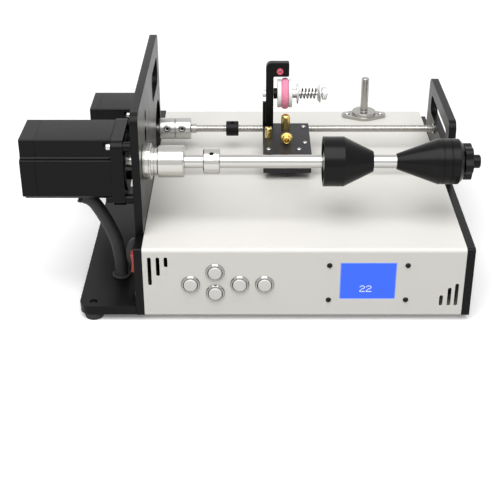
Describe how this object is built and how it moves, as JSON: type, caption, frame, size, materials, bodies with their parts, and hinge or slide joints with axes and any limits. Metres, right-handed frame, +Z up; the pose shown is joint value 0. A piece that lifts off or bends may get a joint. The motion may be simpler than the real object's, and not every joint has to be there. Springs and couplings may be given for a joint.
{
  "type": "fishing line spooling machine",
  "caption": "Motor-driven machine that winds fishing line onto a spool clamped between cones, with a screw-driven line guide, tensioner, supply post and control housing.",
  "frame": {"origin": "middle of the bounding box at the floor, under the feet", "axes": "+X along the spindle from the motors to the clamp knob, +Y from the front panel to the rear, +Z up"},
  "size_m": [0.5666, 0.459, 0.263],
  "materials": {
    "white_paint": "fine satin powder coat",
    "black_metal": "black satin coat",
    "grey_metal": "dark anodised, turned",
    "steel": "turned steel",
    "chrome": "ground and polished",
    "aluminium": "plain turned",
    "brass": "turned brass",
    "rubber": "matt",
    "dark_plastic": "moulded",
    "red_plastic": "moulded",
    "red_ceramic": "glazed",
    "white_plastic": "moulded",
    "pink_felt": "pressed felt",
    "screen": "screen behind clear glass",
    "circuit_green": "circuit board"
  },
  "bodies": {
    "base": {"housing_cover": "white_paint", "chassis_tray": "white_paint", "left_side_plate": "black_metal", "right_side_plate": "black_metal", "motor_base_plate": "black_metal", "rubber_foot_1": "rubber", "rubber_foot_2": "rubber", "rubber_foot_3": "rubber", "rubber_foot_4": "rubber", "supply_post": "steel", "spindle_motor_flange": "black_metal", "traverse_motor_flange": "black_metal", "spindle_motor_body": "black_metal", "traverse_motor_body": "black_metal", "spindle_motor_cap": "black_metal", "traverse_motor_cap": "black_metal", "cable_sleeve": "dark_plastic", "cable_grommet": "rubber", "spindle_bearing_housing": "steel", "lead_screw_bearing": "brass", "guide_rod": "chrome", "display_window": "screen", "display_module": "circuit_green", "power_switch_body": "dark_plastic", "control_board": "circuit_green", "power_supply": "aluminium", "power_inlet": "dark_plastic"},
    "spindle": {"spindle_motor_rotor": "steel", "spindle_shaft": "chrome", "spindle_coupling": "steel", "spindle_stop_collar": "steel"},
    "left_cone": {"left_cone": "grey_metal"},
    "right_cone": {"right_cone": "grey_metal"},
    "clamp_knob": {"clamp_knob": "grey_metal"},
    "screw": {"traverse_motor_rotor": "steel", "lead_screw": "steel", "traverse_coupling_motor_half": "aluminium", "traverse_coupling_screw_half": "aluminium", "screw_stop_collar": "black_metal"},
    "carriage": {"carriage_block": "black_metal", "carriage_lead_nut": "brass", "carriage_bushing": "brass", "line_bracket": "black_metal", "top_line_eyelet": "red_ceramic", "line_guide_barrel": "brass", "brass_line_eyelet": "brass", "tension_stud": "steel", "tension_pressure_disc": "steel", "tension_spring": "steel", "tension_cone_washer": "steel"},
    "tension_wheel": {"tension_wheel": "white_plastic", "tension_felt": "pink_felt"},
    "tension_nut": {"tension_nut": "aluminium"},
    "thumb_screw": {"brass_thumb_screw": "brass"},
    "switch_rocker": {"power_switch_rocker": "red_plastic"},
    "button_1": {"button_cap_1": "white_plastic"},
    "button_2": {"button_cap_2": "white_plastic"},
    "button_3": {"button_cap_3": "white_plastic"},
    "button_4": {"button_cap_4": "white_plastic"},
    "button_5": {"button_cap_5": "white_plastic"}
  },
  "joints": [
    {"name": "spindle_spin", "type": "hinge", "parent": "base", "child": "spindle", "pos_m": [-0.13705, -0.1455, 0.185], "axis": [1, 0, 0], "continuous": true},
    {"name": "left_cone_slide", "type": "slide", "parent": "spindle", "child": "left_cone", "axis": [1, 0, 0], "range_m": [-0.12, 0]},
    {"name": "right_cone_slide", "type": "slide", "parent": "spindle", "child": "right_cone", "axis": [1, 0, 0], "range_m": [-0.026, 0]},
    {"name": "clamp_knob_turn", "type": "hinge", "parent": "spindle", "child": "clamp_knob", "pos_m": [-0.13705, -0.1455, 0.185], "axis": [1, 0, 0], "range_deg": [0, 1080]},
    {"name": "lead_screw_spin", "type": "hinge", "parent": "base", "child": "screw", "pos_m": [-0.13705, 0.0805, 0.1344], "axis": [1, 0, 0], "range_deg": [-5540, 1112]},
    {"name": "carriage_slide", "type": "slide", "parent": "base", "child": "carriage", "axis": [1, 0, 0], "range_m": [-0.031, 0.154]},
    {"name": "tension_wheel_spin", "type": "hinge", "parent": "carriage", "child": "tension_wheel", "pos_m": [0.01425, 0.0735, 0.1911], "axis": [1, 0, 0], "continuous": true},
    {"name": "tension_nut_turn", "type": "hinge", "parent": "carriage", "child": "tension_nut", "pos_m": [0.01425, 0.0735, 0.1911], "axis": [1, 0, 0], "range_deg": [-720, 720]},
    {"name": "thumb_screw_turn", "type": "hinge", "parent": "carriage", "child": "thumb_screw", "pos_m": [0.02165, 0.0255, 0.1428], "axis": [0, 0, 1], "range_deg": [0, 1080]},
    {"name": "switch_rock", "type": "hinge", "parent": "base", "child": "switch_rocker", "pos_m": [-0.1496, -0.1725, 0.057], "axis": [0, 1, 0], "range_deg": [-7, 7]},
    {"name": "button_1_press", "type": "slide", "parent": "base", "child": "button_1", "axis": [0, 1, 0], "range_m": [0, 0.002], "stiffness_N_per_m": 400, "springref_m": -0.0005},
    {"name": "button_2_press", "type": "slide", "parent": "base", "child": "button_2", "axis": [0, 1, 0], "range_m": [0, 0.002], "stiffness_N_per_m": 400, "springref_m": -0.0005},
    {"name": "button_3_press", "type": "slide", "parent": "base", "child": "button_3", "axis": [0, 1, 0], "range_m": [0, 0.002], "stiffness_N_per_m": 400, "springref_m": -0.0005},
    {"name": "button_4_press", "type": "slide", "parent": "base", "child": "button_4", "axis": [0, 1, 0], "range_m": [0, 0.002], "stiffness_N_per_m": 400, "springref_m": -0.0005},
    {"name": "button_5_press", "type": "slide", "parent": "base", "child": "button_5", "axis": [0, 1, 0], "range_m": [0, 0.002], "stiffness_N_per_m": 400, "springref_m": -0.0005}
  ],
  "couplings": [
    {"joint": "carriage_slide", "follows": "lead_screw_spin", "m_per_rad": -0.0015915}
  ]
}
